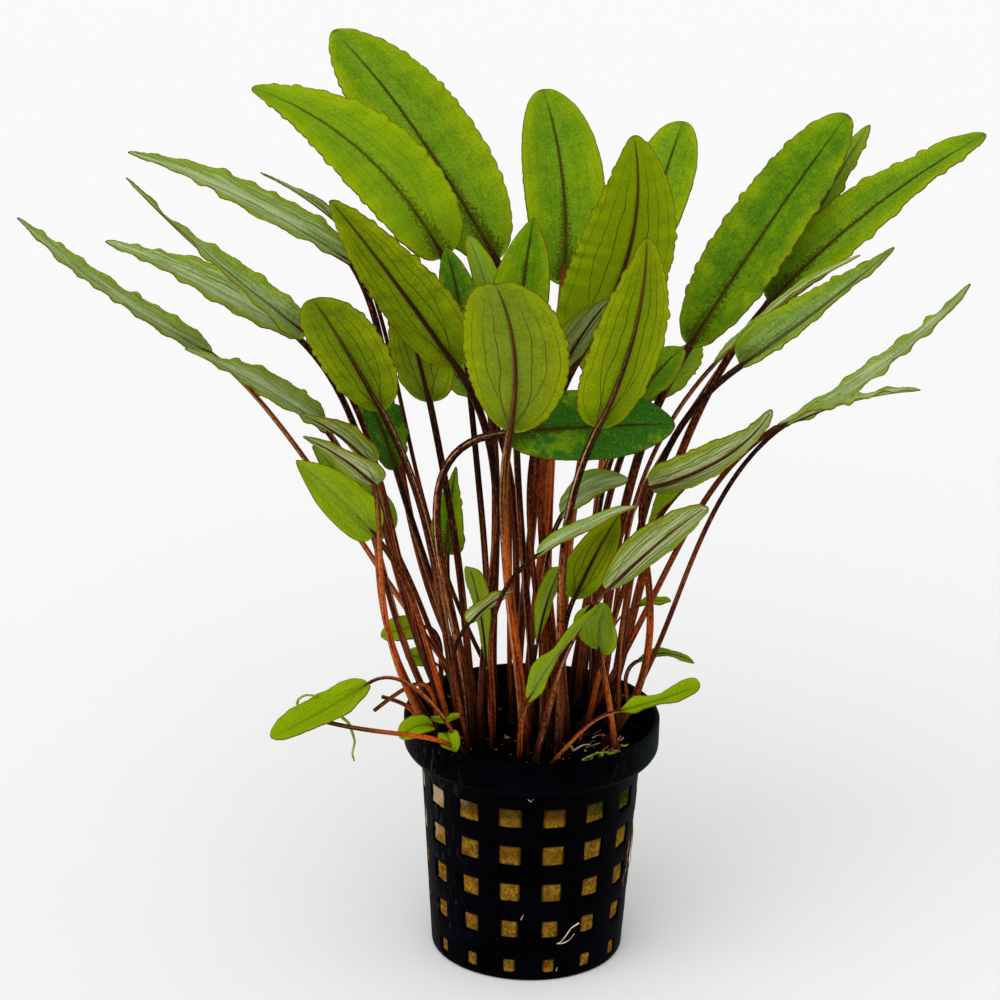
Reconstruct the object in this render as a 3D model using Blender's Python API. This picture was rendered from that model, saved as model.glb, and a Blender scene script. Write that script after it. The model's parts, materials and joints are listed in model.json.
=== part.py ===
"""Potted cryptocoryne: a bunch of young plants in a black net pot filled with rock wool.

Metres and +Z up. +X is right and -Y is towards the viewer of the photograph. The origin is at
the centre of the pot's base. Sizes below are in millimetres.
"""

import math

import bmesh
import bpy
from mathutils import Matrix, Vector

MM = 0.001

# Net pot, a standard 5 cm aquarium pot
POT_HEIGHT = 53.0
LIP_RADIUS = 27.0
BAND_FOOT_Z = 46.6
BAND_CHAMFER = 0.9
SHOULDER_Z = 44.6
WALL_RADIUS_TOP = 23.3
BASE_RADIUS = 20.3
POT_WALL = 1.1
WINDOW_COLUMNS = 15
WINDOW_TURN = math.radians(1.3)
TOP_ROW_Z = 38.6
ROW_PITCH = 8.8
WINDOW_HEIGHTS = (4.8, 4.9, 4.6, 4.4, 3.5)
WINDOW_WIDTHS = (5.1, 4.9, 4.5, 3.8, 2.8)
SLOT_RADIUS_OUTER = 16.5
SLOT_RADIUS_INNER = 9.0
SLOT_WIDTH = 2.4

# Rock wool plug
GAP = 0.35
WOOL_TOP_Z = 49.0
WOOL_SHOULDER_Z = 46.0
WOOL_RIM_RADIUS = 25.1
WOOL_SEGMENTS = 30

# Leaves
FOOT_GAP = 0.3
STALK_STEPS = 5
STALK_REACH = 0.36  # length of a stalk curve's handles, as a share of its chord
STALK_LIFT = 0.6  # how much steeper than its chord a stalk leaves the wool
STALK_RADIUS_BASE = 0.3
STALK_RADIUS_PER_WIDTH = 0.03
STALK_RADIUS_MAX = 0.8
STALK_RADIUS_MIN = 0.42
STALK_FOOT = 1.15  # radius at the foot and at the neck, as shares of the stalk's own
STALK_NECK = 0.75
BLADE_STATIONS = (0.05, 0.15, 0.3, 0.5, 0.7, 0.86, 0.96)
FOLD = math.tan(math.radians(12))
RIB_TOP = 0.16
RIB_KEEL = 0.5
RIB_TOP_RUN = 6  # how fast the midrib sinks into the blade, above and below
RIB_KEEL_RUN = 3
RIB_FADE = 0.7

# Outlines of a blade: the powers that shape it from the neck to its widest place and on to the tip
EVEN = (0.5, 0.62)
BLUNT = (0.45, 0.5)
EGG = (0.38, 0.82)
LANCE = (0.45, 1.0)
ARROW = (0.3, 1.15)
SPOON = (1.1, 0.35)

GREEN = (0.10, 0.27, 0.012)
OLIVE = (0.19, 0.24, 0.02)
PALE = (0.21, 0.33, 0.08)
YOUNG = (0.27, 0.45, 0.02)
BROWN = (0.12, 0.03, 0.01)

# One row for each leaf: name, foot (x, y) on the rock wool, neck (x, y, z) where the blade starts,
# tip (x, y, z), blade width, outline, arch (how far the blade's middle rises off its chord), sweep
# (how far it bends to the right), roll about its length in degrees, bow (how far the stalk's middle
# bulges towards +X), colour, and a lift of its own where the stalk leaves the wool steeper or
# flatter than the others.
LEAVES = (
    ("leaf_top_1", (-3, 9), (-9.5, 20, 146.5), (-44, 50, 187.5), 22, EVEN, 1, 1, -30, 0, GREEN),
    ("leaf_top_2", (-8, 8), (-20.5, 12, 149.5), (-61, 32, 179), 19, EGG, 5, 3, -30, 0, GREEN),
    ("leaf_top_3", (2.5, 13), (4.5, 24, 140), (-0.5, 50, 175), 17.5, BLUNT, 2, 1.8, 0, 0, GREEN),
    ("leaf_top_4", (10, 15), (20.5, 20, 147), (29, 40, 171.5), 14, BLUNT, 1, 0, 0, 0, GREEN),
    ("leaf_top_5", (5, 1.5), (8.5, -6, 136), (17, -18, 185), 21.5, EGG, 1, -5, -20, 0, OLIVE),
    ("leaf_top_6", (5.5, -12), (11.5, -24, 126), (19.5, -38, 170.5), 16, EGG, 1, -3, -10, 0, OLIVE),
    ("leaf_top_7", (-1.5, -11.5), (-6, -26, 125.5), (-9.5, -46, 163), 21, BLUNT, 2, -2, 0, 0, OLIVE),
    ("leaf_top_8", (0.5, 5), (-4.5, 2, 138.5), (-2, 10, 159), 12, EGG, 1, 0, 0, 0, GREEN),
    ("leaf_top_9", (-4.5, 4.5), (-10, 8, 137), (-15.5, 16, 153), 7, EVEN, 1, 0, 5, 0, YOUNG),
    ("leaf_top_10", (-8, 1.5), (-15.5, 0, 134.5), (-20, 8, 153), 10, EGG, 1, 0, 0, 0, GREEN),
    ("leaf_left_1", (-10.5, -5), (-17, -12, 134), (-42, -28, 173.5), 15.5, EGG, 1, 0, 45, 0, OLIVE),
    ("leaf_left_2", (-12, -1), (-22.5, -4, 123.5), (-29.5, -10, 150), 13, EGG, 1, 0, 30, 0, OLIVE),
    ("leaf_left_3", (-15, -4.5), (-32, -14, 125), (-45.5, -26, 152.5), 15, BLUNT, 1, 0, 40, 0, OLIVE),
    ("leaf_left_4", (-14, 5.5), (-29.5, 6, 105), (-39, 10, 125), 12, EVEN, 1, 0, -15, 0, GREEN),
    ("leaf_left_5", (-10, 14), (-39.5, 16, 146.5), (-86, 22, 167.5), 14, LANCE, 2, 0, -5, -13, PALE),
    ("leaf_left_6", (-6, 16.5), (-40.5, 28, 149.5), (-59.5, 36, 159.5), 4, LANCE, 1, 0, 12, -11, PALE),
    ("leaf_left_7", (-17, 1), (-47.5, -12, 140.5), (-83, -16, 173.5), 9.5, ARROW, -1, 0, 5, -6, PALE),
    ("leaf_left_8", (-17.5, 6.5), (-50, 2, 135), (-89, 2, 154.5), 12.5, LANCE, 1.5, 0, -15, -6.5, PALE),
    ("leaf_left_9", (-11, 11), (-68, 10, 128), (-108, 12, 156), 10, LANCE, -2, 0, -5, -9, PALE),
    ("leaf_left_10", (-19.5, 3.5), (-44, -4, 117.5), (-72, -10, 136), 12, ARROW, 1, 0, -15, -6, PALE),
    ("leaf_left_11", (-20, -2), (-34, -12, 113), (-48, -18, 125.5), 10, EGG, 1, 0, 25, -9.5, PALE),
    ("leaf_left_12", (-19.5, -9), (-33, -20, 111.5), (-47, -30, 125), 9, ARROW, 1, 0, 30, -9, PALE),
    ("leaf_left_13", (-16, -7.5), (-33, -14, 98), (-49.5, -9, 112), 10.5, EGG, 1, 0, -40, -1.5, YOUNG),
    ("leaf_left_14", (-15.5, 15.5), (-31, 14, 87), (-47.5, 20, 104.5), 10, EGG, 1, 0, -30, -2, YOUNG),
    ("leaf_right_1", (13, 12), (31, 16, 130), (63, 34, 175.5), 18.5, BLUNT, 1, 0, 20, 0, GREEN),
    ("leaf_right_2", (11, 18.5), (52, 30, 142), (68.5, 44, 170.5), 8, EVEN, 1, 0, 0, -6.5, GREEN),
    ("leaf_right_3", (16.5, 13.5), (47.5, 20, 138.5), (91.5, 30, 173), 14, EGG, 3.5, 0, 25, 1, GREEN),
    ("leaf_right_4", (14.5, 7), (35.5, 4, 130), (65, 10, 152.5), 4.5, EVEN, 2, 0, -5, -0.5, PALE),
    ("leaf_right_5", (15.5, 3), (41, 0, 131.5), (71, 0, 157.5), 8, ARROW, -1, 0, 30, 0.5, PALE),
    ("leaf_right_6", (10, 0), (48, -8, 121), (85.5, -12, 154), 7.5, EVEN, -3, 0, 15, 5.5, PALE),
    ("leaf_right_7", (17.5, 0.5), (49.5, -18, 125.5), (75.5, -24, 135.5), 4.5, EVEN, 1.5, 0, 0, 5.5, PALE),
    ("leaf_right_8", (15.5, -6), (22.5, -20, 112), (45.5, -32, 133.5), 10.5, ARROW, 1, -5, -45, 12, PALE),
    ("leaf_right_9", (18, -3), (31.5, -4, 107.5), (45.5, -6, 120), 4, ARROW, 1, 0, 8, -2, YOUNG),
    ("leaf_right_10", (11.5, -2.5), (23, -8, 98.5), (31.5, -11, 111), 8, EVEN, 1, 0, 20, 0, YOUNG),
    ("leaf_right_11", (1, -15), (14.5, -20, 89.5), (33.5, -30, 112), 9.5, BLUNT, 1, 0, -45, 0, PALE),
    ("leaf_middle_1", (-13, -9), (-7.5, -19, 122.5), (27.5, -10, 122), 16, EVEN, 1, 0, 45, 0, GREEN),
    ("leaf_middle_2", (12.5, 10), (20, 4, 121.5), (29.5, 10, 131.5), 12, EVEN, 1, 0, 5, 0, GREEN),
    ("leaf_middle_3", (3.5, -8.5), (3.5, -12, 133), (13.5, -17, 151), 8, EVEN, 1, 0, -35, 0, PALE),
    ("leaf_middle_4", (2, -3), (5, -6, 100), (18.5, -8, 109), 8, EVEN, 3, 0, 30, 0, PALE),
    ("leaf_middle_5", (7.5, -4), (8, -10.5, 83.5), (16.5, -18.5, 105.5), 9.5, EGG, 1, 0, -40, 0, YOUNG),
    ("leaf_middle_6", (-0.5, -5), (0.5, -11, 73), (5, -13, 91.5), 6, SPOON, 1, 0, -30, 0, YOUNG),
    ("leaf_middle_7", (-13, 3), (-18.5, 4, 87), (-17, 8, 105), 8, ARROW, 1, 0, 0, 0, OLIVE),
    ("leaf_middle_8", (-8.5, -5), (-9.5, -8, 66), (-13.5, -12, 90.5), 5.5, SPOON, 1, 0, 8, 0, YOUNG),
    ("leaf_middle_9", (-13.5, -12), (-13.5, -20, 81.5), (-4.5, -23, 90), 5, EGG, 1, 0, -40, 0, PALE),
    ("leaf_middle_10", (-8.5, -11), (0, -26, 99), (20, -28, 111), 6, EGG, 1, 0, 12, 0, PALE),
    ("leaf_low_1", (-19, 13.5), (-23.5, 18, 64.5), (-32.5, 16, 63), 6, EVEN, 1, 0, -40, 0, GREEN),
    ("leaf_low_2", (-14, -14), (-34, -15, 65.5), (-53.5, -26, 57.5), 9.5, BLUNT, -0.5, 0, -10, 0, GREEN, 1.2),
    ("leaf_low_3", (4, -17.5), (17.5, -22, 63.5), (34, -24, 70.5), 5.5, SPOON, -0.5, 0, 25, 0, YOUNG, 0.1),
    ("leaf_low_4", (20.5, 10), (22, 6.5, 62.5), (34, 5, 63), 4, EVEN, 2, 0, 5, 0, GREEN),
    ("leaf_low_5", (-2.5, -15), (-1, -20, 64.5), (13, -22, 86.5), 8, BLUNT, 1, 0, 20, 0, YOUNG),
    ("leaf_low_6", (17.5, -11), (13.5, -14, 73.5), (14.5, -14, 84), 12, EVEN, 1, 0, 45, 0, YOUNG),
    ("leaf_back_1", (-1, 17), (0.5, 22, 115), (-5.5, 52, 120.5), 13, EVEN, 1, 0, 0, 0, GREEN),
    ("leaf_back_2", (5.5, 18.5), (13, 24, 119.5), (21.5, 56, 126.5), 14, EGG, 1, 0, 0, 0, GREEN),
    ("leaf_back_3", (-2.5, 20), (-12.5, 28, 113), (-26, 54, 114.5), 12, EVEN, 1, 0, 0, 0, GREEN),
    ("leaf_back_4", (8.5, 21.5), (23.5, 31, 112.5), (35, 58, 116), 12, EGG, 1, 0, 0, 0, GREEN),
)

# Bare stalks that lost their leaf: name, foot (x, y), then the three points that shape the curve up
# to the cut end, and the radius.
CUT_STALKS = (
    ("cut_stalk_1", (-20, -5.4), (-19.5, -6, 67), (-25, -9.5, 64), (-33, -11, 57.5), 0.5),
    ("cut_stalk_2", (-22.5, -6.5), (-24, -6.5, 57), (-27, -6.5, 57.5), (-31.5, -7, 59), 0.5),
    ("cut_stalk_3", (-15.7, -14.8), (-16.5, -17, 56), (-27, -19.5, 54.8), (-42.5, -18.5, 58), 0.55),
)


def clear_scene():
    for item in list(bpy.data.objects):
        bpy.data.objects.remove(item, do_unlink=True)


def material(name, colour, roughness):
    made = bpy.data.materials.new(name)
    made.use_nodes = True
    shader = made.node_tree.nodes["Principled BSDF"]
    shader.inputs["Base Color"].default_value = (*colour, 1)
    shader.inputs["Roughness"].default_value = roughness
    shader.inputs["Metallic"].default_value = 0
    made.diffuse_color = (*colour, 1)
    return made


def finish(name, bm, colour, roughness):
    """Turns a bmesh in millimetres into one named object with its own material."""
    bmesh.ops.scale(bm, vec=(MM, MM, MM), verts=bm.verts)
    bmesh.ops.recalc_face_normals(bm, faces=bm.faces)
    mesh = bpy.data.meshes.new(name)
    bm.to_mesh(mesh)
    bm.free()
    mesh.shade_smooth()
    mesh.set_sharp_from_angle(angle=math.radians(35))
    made = bpy.data.objects.new(name, mesh)
    bpy.context.scene.collection.objects.link(made)
    mesh.materials.append(material(name, colour, roughness))
    return made


def start_ring(bm, points):
    """A closed loop of edges through the points."""
    ring = bmesh.ops.create_circle(bm, segments=len(points), radius=1)["verts"]
    for vert, point in zip(ring, points):
        vert.co = point
    return ring


def extrude_ring(bm, ring, points):
    """Extrudes a closed loop of edges and puts the new loop on the points, in the same order."""
    edges = [bm.edges.get((a, b)) for a, b in zip(ring, ring[1:] + ring[:1])]
    made = bmesh.ops.extrude_edge_only(bm, edges=edges)["geom"]
    fresh = {item for item in made if isinstance(item, bmesh.types.BMVert)}
    follow = [next(e.other_vert(v) for e in v.link_edges if e.other_vert(v) in fresh) for v in ring]
    for vert, point in zip(follow, points):
        vert.co = point
    return follow


def on_circle(radius, angle, z):
    """Angle 0 faces the viewer, and angles grow towards +X."""
    return Vector((radius * math.sin(angle), -radius * math.cos(angle), z))


def column_angles(width, radius):
    """The edges of every window column, for one window width at one radius."""
    half = math.asin(width / 2 / radius)
    pitch = 2 * math.pi / WINDOW_COLUMNS
    middles = [WINDOW_TURN + pitch * (column + 0.5) for column in range(WINDOW_COLUMNS)]
    return [angle for middle in middles for angle in (middle - half, middle + half)]


def wall_radius(z):
    return BASE_RADIUS + (WALL_RADIUS_TOP - BASE_RADIUS) * z / SHOULDER_Z


def pot_levels():
    """Rings of the pot's outside from the lip down to the base: radius, z, window width, and
    whether windows lie between this ring and the next."""
    wide, narrow = WINDOW_WIDTHS[0], WINDOW_WIDTHS[-1]
    levels = [
        (LIP_RADIUS, POT_HEIGHT, wide, False),
        (LIP_RADIUS - 0.1, BAND_FOOT_Z, wide, False),
        (LIP_RADIUS - BAND_CHAMFER, BAND_FOOT_Z - BAND_CHAMFER, wide, False),
        (WALL_RADIUS_TOP, SHOULDER_Z, wide, False),
    ]
    for row, (height, width) in enumerate(zip(WINDOW_HEIGHTS, WINDOW_WIDTHS)):
        middle = TOP_ROW_Z - ROW_PITCH * row
        for z, opens in ((middle + height / 2, True), (middle - height / 2, False)):
            levels.append((wall_radius(z), z, width, opens))
    levels.append((BASE_RADIUS, 0, narrow, False))
    levels.append((SLOT_RADIUS_OUTER, 0, SLOT_WIDTH, True))
    levels.append((SLOT_RADIUS_INNER, 0, SLOT_WIDTH, False))
    return levels


def net_pot():
    bm = bmesh.new()
    levels = pot_levels()
    rings = []
    for radius, z, width, _ in levels:
        points = [on_circle(radius, angle, z) for angle in column_angles(width, radius)]
        rings.append(extrude_ring(bm, rings[-1], points) if rings else start_ring(bm, points))
    bmesh.ops.contextual_create(bm, geom=rings[-1])
    windows = []
    for upper, lower, level in zip(rings, rings[1:], levels):
        if level[3]:
            for left in range(0, len(upper), 2):
                corners = upper[left], upper[left + 1], lower[left + 1], lower[left]
                windows.append(bm.faces.get(corners))
    bmesh.ops.delete(bm, geom=windows, context="FACES")
    made = finish("net_pot", bm, (0.006, 0.006, 0.009), 0.25)
    shell = made.modifiers.new("wall thickness", "SOLIDIFY")
    shell.thickness = POT_WALL * MM
    shell.offset = -1
    shell.use_even_offset = True
    return made


def rock_wool_plug():
    """Fills the pot, with a gap to its faceted inside, and spreads over the inner shoulder."""
    facet = math.cos(math.pi / WOOL_SEGMENTS)
    floor_z = POT_WALL + GAP
    floor_radius = (wall_radius(floor_z) - POT_WALL) * facet - GAP
    neck_radius = (wall_radius(SHOULDER_Z) - POT_WALL) * facet - GAP
    profile = (
        (floor_radius, floor_z),
        (neck_radius, WOOL_SHOULDER_Z),
        (WOOL_RIM_RADIUS, WOOL_SHOULDER_Z + 1.5),
        (WOOL_RIM_RADIUS, WOOL_TOP_Z - 0.6),
        (WOOL_RIM_RADIUS - 0.6, WOOL_TOP_Z),
    )
    bm = bmesh.new()
    ring = None
    for radius, z in profile:
        points = [on_circle(radius, 2 * math.pi * step / WOOL_SEGMENTS, z) for step in range(WOOL_SEGMENTS)]
        if ring is None:
            ring = start_ring(bm, points)
            bmesh.ops.contextual_create(bm, geom=ring)
        else:
            ring = extrude_ring(bm, ring, points)
    bmesh.ops.contextual_create(bm, geom=ring)
    return finish("rock_wool_plug", bm, (0.42, 0.27, 0.08), 0.95)


def bezier(points, t):
    """A point of the Bezier curve through the first and last of the points, and its direction."""
    layer = [Vector(point) for point in points]
    while len(layer) > 2:
        layer = [a.lerp(b, t) for a, b in zip(layer, layer[1:])]
    return layer[0].lerp(layer[1], t), (layer[1] - layer[0]).normalized()


def half_width(station, outline):
    """Half the width of a blade from neck (0) to tip (1), as a share of that at its widest place."""
    rise, fall = outline
    widest = rise / (rise + fall)
    return (station / widest) ** rise * ((1 - station) / (1 - widest)) ** fall


def blade_frame(neck, tip, roll):
    """The blade's side direction: level where roll is 0, with the upper face up."""
    chord = (tip - neck).normalized()
    up = (Vector((0, 0, 1)) - chord * chord.z).normalized()
    up = Matrix.Rotation(math.radians(roll), 3, chord) @ up
    return up, chord.cross(up)


def section(centre, side, up, half, raised, top, keel):
    """Left edge, top of the midrib, right edge and keel of the midrib."""
    return (
        centre - side * half + up * raised,
        centre + up * top,
        centre + side * half + up * raised,
        centre - up * keel,
    )


def stalk_points(foot, neck, heading, bow, lift):
    """Control points of the stalk: it leaves the wool steeply and runs into the blade. Two equal
    shifts of the middle points move a cubic's middle by three quarters of them."""
    reach = (neck - foot).length * STALK_REACH
    rise = ((neck - foot).normalized() + Vector((0, 0, lift))).normalized()
    shift = Vector((bow / 0.75, 0, 0))
    return foot, foot + rise * reach + shift, neck - heading * reach + shift, neck


def stalk_radius(width):
    grown = STALK_RADIUS_BASE + width * STALK_RADIUS_PER_WIDTH
    return min(STALK_RADIUS_MAX, max(STALK_RADIUS_MIN, grown))


def stalk_sections(path, side, thick):
    """Square sections from the foot up to the neck. The frame is carried down from the neck, so
    the stalk isn't twisted, and the foot's section is level."""
    sections = []
    for step in range(STALK_STEPS, -1, -1):
        share = step / STALK_STEPS
        centre, along = bezier(path, share)
        if step == 0:
            along = Vector((0, 0, 1))
        side = (side - along * side.dot(along)).normalized()
        radius = thick * (STALK_FOOT + (STALK_NECK - STALK_FOOT) * share)
        sections.insert(0, section(centre, side, side.cross(along), radius, 0, radius, radius))
    return sections


def blade_sections(path, side, width, outline, thick):
    sections = []
    for station in BLADE_STATIONS:
        centre, along = bezier(path, station)
        across = (side - along * side.dot(along)).normalized()
        half = width / 2 * half_width(station, outline)
        fade = (1 - station) ** RIB_FADE
        top = max(RIB_TOP, thick * STALK_NECK * (1 - RIB_TOP_RUN * station)) * fade
        keel = max(RIB_KEEL, thick * STALK_NECK * (1 - RIB_KEEL_RUN * station)) * fade
        sections.append(section(centre, across, across.cross(along), half, half * FOLD, top, keel))
    return sections


def loft(name, sections, tip, colour):
    """One closed solid through the sections. With no tip point, its end is cut flat."""
    bm = bmesh.new()
    ring = start_ring(bm, sections[0])
    bmesh.ops.contextual_create(bm, geom=ring)
    for points in sections[1:]:
        ring = extrude_ring(bm, ring, points)
    if tip is None:
        bmesh.ops.contextual_create(bm, geom=ring)
    else:
        ring = extrude_ring(bm, ring, [tip] * len(ring))
        bmesh.ops.pointmerge(bm, verts=ring, merge_co=tip)
    return finish(name, bm, colour, 0.45)


def leaf(name, foot, neck, tip, width, outline, arch, sweep, roll, bow, colour, lift=STALK_LIFT):
    foot = Vector((*foot, WOOL_TOP_Z + FOOT_GAP))
    neck = Vector(neck)
    tip = Vector(tip)
    up, side = blade_frame(neck, tip, roll)
    bend = (neck + tip) / 2 + 2 * (up * arch + side * sweep)
    blade = neck, bend, tip
    thick = stalk_radius(width)
    stalk = stalk_points(foot, neck, (bend - neck).normalized(), bow, lift)
    sections = stalk_sections(stalk, side, thick)
    sections += blade_sections(blade, side, width, outline, thick)
    return loft(name, sections, tip, colour)


def cut_stalk(name, foot, rise, bend, end, thick):
    path = [Vector(point) for point in ((*foot, WOOL_TOP_Z + FOOT_GAP), rise, bend, end)]
    sections = stalk_sections(path, Vector((0, 1, 0)), thick)
    return loft(name, sections, None, BROWN)


def main():
    clear_scene()
    net_pot()
    rock_wool_plug()
    for row in LEAVES:
        leaf(*row)
    for row in CUT_STALKS:
        cut_stalk(*row)


main()
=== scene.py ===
"""Potted cryptocoryne: leaves with their stalks, net pot and rock wool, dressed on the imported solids.

Metres and +Z up, and -Y faces the viewer of the photograph. Sizes in the code are millimetres and
are multiplied by MM where they become geometry.
"""

import json
import math
from random import Random

import bmesh
import bpy
import numpy as np
from mathutils import Matrix, Vector, noise


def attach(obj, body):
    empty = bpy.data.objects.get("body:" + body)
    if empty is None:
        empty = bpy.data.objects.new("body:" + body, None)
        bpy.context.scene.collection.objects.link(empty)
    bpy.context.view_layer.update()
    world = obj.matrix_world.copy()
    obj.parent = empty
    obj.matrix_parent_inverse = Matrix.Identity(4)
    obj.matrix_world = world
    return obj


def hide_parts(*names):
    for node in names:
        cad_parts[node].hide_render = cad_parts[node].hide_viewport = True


MM = 0.001
# Upper end of the random phases and headings, in radians
ANY_TURN = 6.28

# Net pot, as in the solids
LIP_RADIUS = 27.0
POT_HEIGHT = 53.0
BAND_FOOT_Z = 46.6
SHOULDER_Z = 44.6
WALL_RADIUS_TOP = 23.3
BASE_RADIUS = 20.3
POT_WALL = 1.1
WINDOW_COLUMNS = 15
WINDOW_TURN = math.radians(1.3)
TOP_ROW_Z = 38.6
ROW_PITCH = 8.8
WINDOW_HEIGHTS = (4.8, 4.9, 4.6, 4.4, 3.5)
WINDOW_WIDTHS = (5.1, 4.9, 4.5, 3.8, 2.8)
SLOT_RADII = (9.0, 16.5)
SLOT_WIDTH = 2.4
# Finer than in the solids: the rounding of the pot's foot, of an opening's corners and of all edges
FOOT_ROUNDING = 0.9
CORNER_ROUNDING = 0.28
EDGE_ROUNDING = 0.13
POT_STEPS = 180

# Rock wool
WOOL_TOP_Z = 49.0
WOOL_FLOOR_Z = 1.5
WOOL_RIM_RADIUS = 25.3
WOOL_GAP = 0.12
WOOL_BULGE = 0.95
# The mat's columns go round the plug, and its rows from the middle of the floor up the wall to the
# middle of the top. These shares of the rows lie on the floor and on the wall.
WOOL_COLUMNS = 360
WOOL_ROWS = 230
FLOOR_SHARE = 0.1
WALL_SHARE = 0.75

# Light: the sky's radiance, and the sun's strength, width in degrees and direction
SKY = 0.78
SUN = 1.3
SUN_WIDTH = 65
SUN_DIRECTION = (0.28, 0.61, -0.74)

# Camera, as fitted to the photograph: degrees above the object and about its own axis, distance
# and aim in metres, focal length in pixels of a picture 1000 pixels wide
CAMERA_TILT = math.radians(21)
CAMERA_ROLL = math.radians(1.25)
CAMERA_DISTANCE = 0.9
CAMERA_AIM = (-0.0077, 0, 0.1009)
FOCAL_PIXELS = 4346
PICTURE_PIXELS = 1000
SENSOR_WIDTH = 36

# Leaves: how the solids were drawn
BLADE_STATIONS = (0.05, 0.15, 0.3, 0.5, 0.7, 0.86, 0.96)
SOLID_FOLD = math.tan(math.radians(12))
STALK_SHARES = (0.2, 0.4, 0.6, 0.8)
STALK_RINGS = len(STALK_SHARES) + 2
STALK_FOOT = 1.15
# Thickness of a blade and of a scrap, and how far a stalk goes on below the foot of its solid
BLADE_THICKNESS = 0.26
SCRAP_THICKNESS = 0.16
STALK_DEPTH = 2.6

# How each kind of blade grows, in millimetres and degrees: height of the ruffles at the margin,
# length of one ruffle, depth of the notches between them, how much the two halves fold up, how far
# the halves sway over the whole length, and how thick the stalk is against that of its solid
BLADES = {
    "leaf_green": dict(ruffle=0.5, pitch=2.9, notch=0.75, fold=9, sway=0.4, girth=1.2),
    "leaf_olive": dict(ruffle=0.5, pitch=2.8, notch=0.7, fold=10, sway=0.4, girth=1.2),
    "leaf_pale": dict(ruffle=0.55, pitch=2.9, notch=0.6, fold=14, sway=0.4, girth=1.15),
    "leaf_young": dict(ruffle=0.15, pitch=4.0, notch=0.12, fold=12, sway=0.3, girth=1.05),
}
# The stalks of the right-hand leaves are stouter
RIGHT_GIRTH = 1.12
# Colouring of each kind: share of pale streaks, which are painted sheen, of young yellow-green,
# of deep green, which is partly the leaf's own colour and partly painted shade, and how orange
# the stalk is
MOODS = {
    "leaf_green": (0.03, 0, 0.14, 0.4),
    "leaf_olive": (0.04, 0.05, 0, 0.35),
    "leaf_pale": (0.85, 0.05, 0, 0.45),
    "leaf_young": (0.1, 0.75, 0, 0.6),
}
# What single leaves do differently: hook is how far the tip curls sideways, lean is how much wider
# one half is than the other, pinch narrows the middle, lobe widens the base, blunt is the tip's
# radius, and roll and twist turn the blade in degrees
OWN_SHAPE = {
    "top_1": dict(hook=-1.2),
    "top_2": dict(fold=16, ruffle=0.5),
    "top_7": dict(ruffle=0.3, girth=1.3),
    "left_9": dict(girth=1.0),
    "left_5": dict(pitch=3.4),
    "left_7": dict(roll=22, twist=-55, pitch=3.6),
    "left_12": dict(ruffle=0.12, notch=0.1, fold=6),
    "right_3": dict(fold=14, ruffle=0.5, pitch=3.6, blunt=0.85),
    "right_5": dict(roll=-10, lean=0.5, pitch=3.2, girth=1.35),
    "right_6": dict(lean=-0.3, ruffle=0.7, pitch=3.8),
    "right_11": dict(ruffle=0.3, notch=0.3, pitch=4.0),
    "low_2": dict(girth=0.75, fold=8, notch=0.1, ruffle=0.2, blunt=0.03),
    "low_3": dict(girth=0.85, pinch=0.3, lobe=1.3),
    "low_5": dict(pinch=0.5, twist=30, lobe=1.2),
}
# Leaves with nearly smooth margins: height of the ruffles and depth of the notches
SMOOTH = {
    "top_3 top_10 right_4 middle_4": (0.2, 0.15),
    "top_4 middle_3": (0.2, 0.12),
    "top_8 top_9 middle_10": (0.15, 0.12),
    "left_6 left_11": (0.15, 0.15),
    "right_8": (0.25, 0.25),
    "right_9": (0.2, 0.2),
    "middle_1": (0.12, 0.08),
    "middle_2 middle_9": (0.15, 0.1),
    "low_4": (0.1, 0.08),
}
for names, (ruffle, notch) in SMOOTH.items():
    for name in names.split():
        OWN_SHAPE[name] = dict(ruffle=ruffle, notch=notch)
# Colouring of single leaves, given like MOODS
OWN_MOOD = {
    "top_7": (0.05, 0.1, 0, 0.85),
    "left_1": (0, 0.1, 0.2, 0.1),
    "left_3": (0, 0.05, 0.35, 0.1),
    "left_4": (0, 0, 1.6, 0.1),
    "left_9": (0.85, 0.1, 0, 0.9),
    "left_11": (0.6, 0.1, 0, 0.9),
    "left_12": (0.9, 0, 0, 0.9),
    "left_13": (0.05, 0.95, 0, 0.8),
    "right_1": (0, 0, 0.7, 0.2),
    "right_2": (0.1, 0.3, 0, 0.3),
    "right_8": (0.8, 0.1, 0, 0.6),
    "right_5": (0.35, 0, 0.35, 0.2),
    "right_10": (0, 1.0, 0, 0.6),
    "back_1": (0, 0, 0.2, 1.5),
    "back_2": (0, 0, 0.2, 1.5),
    "top_2": (0.02, 0.25, 0, 0.3),
    "top_3": (0.02, 0, 0.25, 1.5),
    "top_4": (0.03, 0, 0.2, 1.3),
    "top_5": (0, 0.75, 0, 0.6),
    "top_6": (0, 0.25, 0, 0.3),
    "top_8": (0, 0, 0.5, 0.3),
    "top_10": (0, 0, 1.0, 0.3),
    "left_7": (0.6, 0, 0.15, 0.3),
    "middle_1": (0, 0, 1.8, 0.2),
    "middle_2": (0, 0, 0.7, 0.2),
    "middle_5": (0, 0.15, 0, 0.4),
    "middle_7": (0, 0, 0.5, 0.2),
    "low_1": (0, 0.8, 0, 0.5),
    "low_2": (0, 0.9, 0, 0.45),
    "low_3": (0, 0.8, 0, 0.8),
    "low_5": (0.1, 0.7, 0, 0.9),
}

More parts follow.
